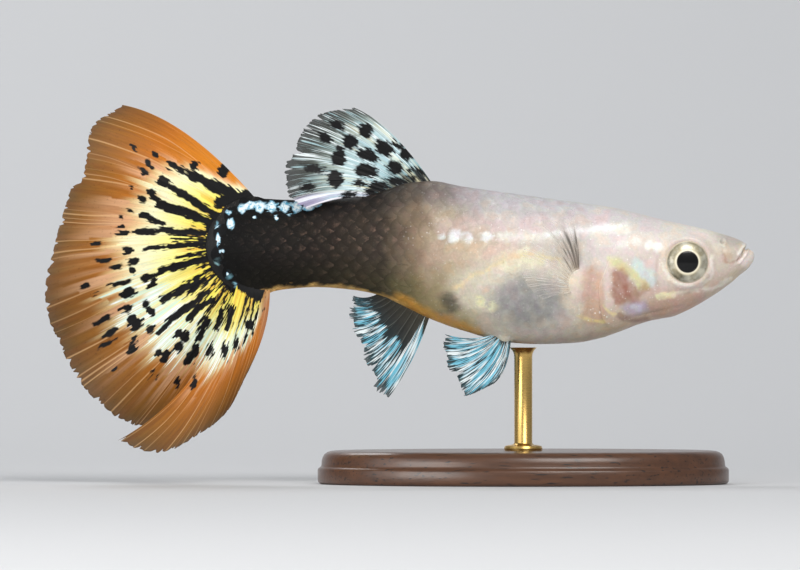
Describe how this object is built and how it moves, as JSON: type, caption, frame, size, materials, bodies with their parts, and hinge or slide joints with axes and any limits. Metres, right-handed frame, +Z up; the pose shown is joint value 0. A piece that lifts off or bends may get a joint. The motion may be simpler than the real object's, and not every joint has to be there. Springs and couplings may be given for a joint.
{
  "type": "fancy guppy model",
  "caption": "Life-size still model of a fancy guppy with a wide fan tail, seen swimming level, on an oval display stand.",
  "frame": {"origin": "centre of the stand's underside, which rests on the floor", "axes": "+X forwards along the fish to its snout, +Y to the fish's left, +Z up"},
  "size_m": [0.0552, 0.02, 0.0295],
  "materials": {
    "skin": "pearly scaled skin, moist gloss, dark towards the tail",
    "eye": "clear wet gloss over a silver-grey iris and black pupil",
    "dorsal_fin": "pale blue-white membrane with black spots",
    "tail_fin": "orange membrane with yellow and black streaks",
    "lower_fins": "blue-white rays on a dark clear membrane",
    "pectoral_fins": "nearly clear membrane with fine rays",
    "stand_wood": "dark stained and waxed hardwood",
    "stand_brass": "brushed and lacquered"
  },
  "bodies": {
    "root": {"head": "skin", "torso": "skin", "tail_stalk": "skin", "eye_left": "eye", "eye_right": "eye", "dorsal_fin": "dorsal_fin", "caudal_fin": "tail_fin", "anal_fin": "lower_fins", "pelvic_fin_left": "lower_fins", "pelvic_fin_right": "lower_fins", "pectoral_fin_left": "pectoral_fins", "pectoral_fin_right": "pectoral_fins", "stand_base": "stand_wood", "stand_rod": "stand_brass"}
  },
  "joints": []
}
